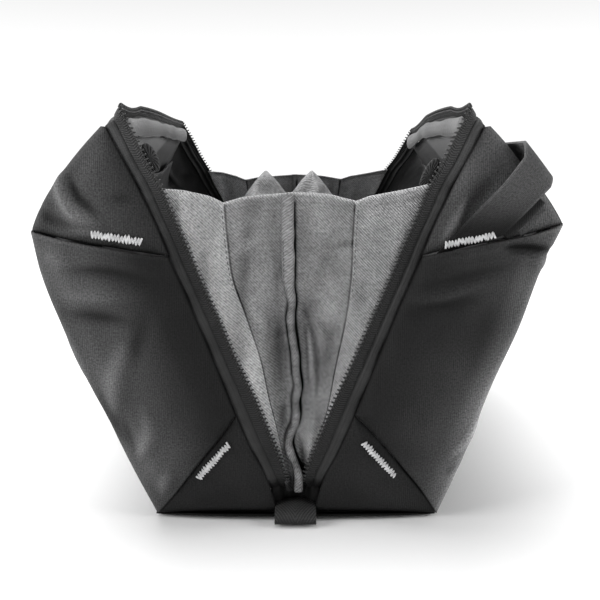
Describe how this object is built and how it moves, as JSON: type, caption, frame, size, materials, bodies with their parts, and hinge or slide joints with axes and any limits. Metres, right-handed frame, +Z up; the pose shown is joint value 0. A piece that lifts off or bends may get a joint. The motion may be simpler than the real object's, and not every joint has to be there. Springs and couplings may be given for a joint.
{
  "type": "wide-mouth zip pouch",
  "caption": "Wide-mouth zip pouch with folded ends, light canvas gussets, a side carry strap and webbing loops, unzipped and spread open.",
  "frame": {"origin": "centre of the base at floor level", "axes": "+X right when facing the front end, +Y from the front end to the back end, +Z up"},
  "size_m": [0.2184, 0.262, 0.178],
  "materials": {
    "shell_fabric": "dark grey plain weave nylon, slight sheen",
    "lining_fabric": "dark smooth lining",
    "canvas": "light grey diagonal weave canvas",
    "zip_tape": "dark ribbed woven tape",
    "zip_coil": "dark nylon coil",
    "webbing": "dark herringbone webbing",
    "thread": "white bartack thread",
    "foam": "closed cell foam",
    "board": "flexible board",
    "slider_metal": "dark satin"
  },
  "bodies": {
    "base": {"base_panel": "shell_fabric", "base_stiffener": "board", "base_lining": "lining_fabric", "front_gusset": "canvas", "back_gusset": "canvas", "front_gusset_binding": "canvas", "back_gusset_binding": "canvas", "front_left_low_zip_tape": "zip_tape", "front_left_low_zip_coil": "zip_coil", "front_left_low_end_panel": "shell_fabric", "front_left_low_bartack": "thread", "front_right_low_zip_tape": "zip_tape", "front_right_low_zip_coil": "zip_coil", "front_right_low_end_panel": "shell_fabric", "front_right_low_bartack": "thread", "back_left_low_zip_tape": "zip_tape", "back_left_low_zip_coil": "zip_coil", "back_left_low_end_panel": "shell_fabric", "back_left_low_bartack": "thread", "back_right_low_zip_tape": "zip_tape", "back_right_low_zip_coil": "zip_coil", "back_right_low_end_panel": "shell_fabric", "back_right_low_bartack": "thread"},
    "left_wall": {"left_side_panel": "shell_fabric", "left_shoulder_panel": "shell_fabric", "left_foam": "foam", "left_lining": "lining_fabric", "left_mouth_facing": "canvas", "left_slip_pocket": "lining_fabric", "left_zip_tape": "zip_tape", "left_zip_coil": "zip_coil", "left_inner_tab": "webbing", "front_left_end_panel": "shell_fabric", "front_left_shoulder_end": "shell_fabric", "front_left_bartack": "thread", "back_left_end_panel": "shell_fabric", "back_left_shoulder_end": "shell_fabric", "back_left_bartack": "thread"},
    "right_wall": {"right_side_panel": "shell_fabric", "right_shoulder_panel": "shell_fabric", "right_foam": "foam", "right_lining": "lining_fabric", "right_mouth_facing": "canvas", "right_slip_pocket": "lining_fabric", "right_zip_tape": "zip_tape", "right_zip_coil": "zip_coil", "right_inner_tab": "webbing", "front_right_end_panel": "shell_fabric", "front_right_shoulder_end": "shell_fabric", "front_right_bartack": "thread", "back_right_end_panel": "shell_fabric", "back_right_shoulder_end": "shell_fabric", "back_right_bartack": "thread"},
    "carry_strap": {"carry_strap": "shell_fabric"},
    "front_loop": {"front_loop": "webbing"},
    "back_loop": {"back_loop": "webbing"},
    "zip_slider": {"zip_slider": "slider_metal"},
    "zip_pull": {"zip_pull": "slider_metal"}
  },
  "joints": [
    {"name": "left_wall_fold", "type": "hinge", "parent": "base", "child": "left_wall", "pos_m": [-0.0625, 0, 0.001], "axis": [0, 1, 0], "range_deg": [0, 23.4], "deforming": ["front_gusset", "front_gusset_binding", "back_gusset", "back_gusset_binding"]},
    {"name": "right_wall_fold", "type": "hinge", "parent": "base", "child": "right_wall", "pos_m": [0.0625, 0, 0.001], "axis": [0, -1, 0], "range_deg": [0, 23.4], "deforming": ["front_gusset", "front_gusset_binding", "back_gusset", "back_gusset_binding"]},
    {"name": "carry_strap_swing", "type": "hinge", "parent": "right_wall", "child": "carry_strap", "pos_m": [0.0725, 0, 0.1256], "axis": [0, 1, 0], "range_deg": [0, 75]},
    {"name": "front_loop_flip", "type": "hinge", "parent": "base", "child": "front_loop", "pos_m": [0, -0.1216, 0.0058], "axis": [-1, 0, 0], "range_deg": [0, 60]},
    {"name": "back_loop_flip", "type": "hinge", "parent": "base", "child": "back_loop", "pos_m": [0, 0.1216, 0.0058], "axis": [1, 0, 0], "range_deg": [0, 60]},
    {"name": "zip_slider_travel", "type": "slide", "parent": "base", "child": "zip_slider", "axis": [0, 0, 1], "range_m": [0, 0.006]},
    {"name": "zip_pull_swing", "type": "hinge", "parent": "zip_slider", "child": "zip_pull", "pos_m": [0, 0.1212, 0.0235], "axis": [1, 0, 0], "range_deg": [0, 160]}
  ]
}
